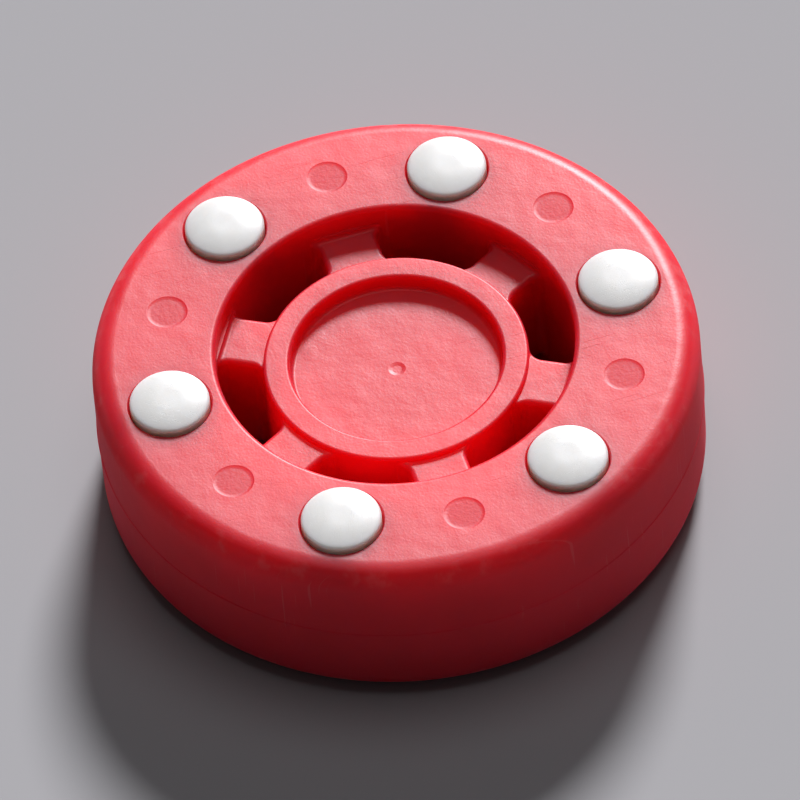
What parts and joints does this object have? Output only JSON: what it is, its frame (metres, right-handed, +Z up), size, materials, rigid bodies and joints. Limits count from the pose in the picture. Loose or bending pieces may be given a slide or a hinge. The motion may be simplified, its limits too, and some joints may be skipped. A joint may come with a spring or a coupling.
{
  "type": "inline hockey puck",
  "caption": "Inline hockey puck: a moulded disc with a dished hub on short spokes inside a thick ring, and round runners that float up and down and stand proud of both faces.",
  "frame": {"origin": "on the ground under the centre of the puck, at the level of the lower runner crowns it stands on", "axes": "+Z up along the puck's axis; +X towards runner 1; the runners are numbered anticlockwise from above"},
  "size_m": [0.0762, 0.0762, 0.0239],
  "materials": {
    "moulded_body": "solid red moulded PVC, satin, with a very fine moulded grain",
    "runner": "natural white nylon, smooth, lightly rubbed on the crown"
  },
  "bodies": {
    "body": {"puck_body": "moulded_body"},
    "runner_1": {"runner_1_pin": "runner", "runner_1_socket": "runner"},
    "runner_2": {"runner_2_pin": "runner", "runner_2_socket": "runner"},
    "runner_3": {"runner_3_pin": "runner", "runner_3_socket": "runner"},
    "runner_4": {"runner_4_pin": "runner", "runner_4_socket": "runner"},
    "runner_5": {"runner_5_pin": "runner", "runner_5_socket": "runner"},
    "runner_6": {"runner_6_pin": "runner", "runner_6_socket": "runner"}
  },
  "joints": [
    {"name": "runner_1_float", "type": "slide", "parent": "body", "child": "runner_1", "axis": [0, 0, 1], "range_m": [-0.0005, 0]},
    {"name": "runner_2_float", "type": "slide", "parent": "body", "child": "runner_2", "axis": [0, 0, 1], "range_m": [-0.0005, 0]},
    {"name": "runner_3_float", "type": "slide", "parent": "body", "child": "runner_3", "axis": [0, 0, 1], "range_m": [-0.0005, 0]},
    {"name": "runner_4_float", "type": "slide", "parent": "body", "child": "runner_4", "axis": [0, 0, 1], "range_m": [-0.0005, 0]},
    {"name": "runner_5_float", "type": "slide", "parent": "body", "child": "runner_5", "axis": [0, 0, 1], "range_m": [-0.0005, 0]},
    {"name": "runner_6_float", "type": "slide", "parent": "body", "child": "runner_6", "axis": [0, 0, 1], "range_m": [-0.0005, 0]}
  ]
}
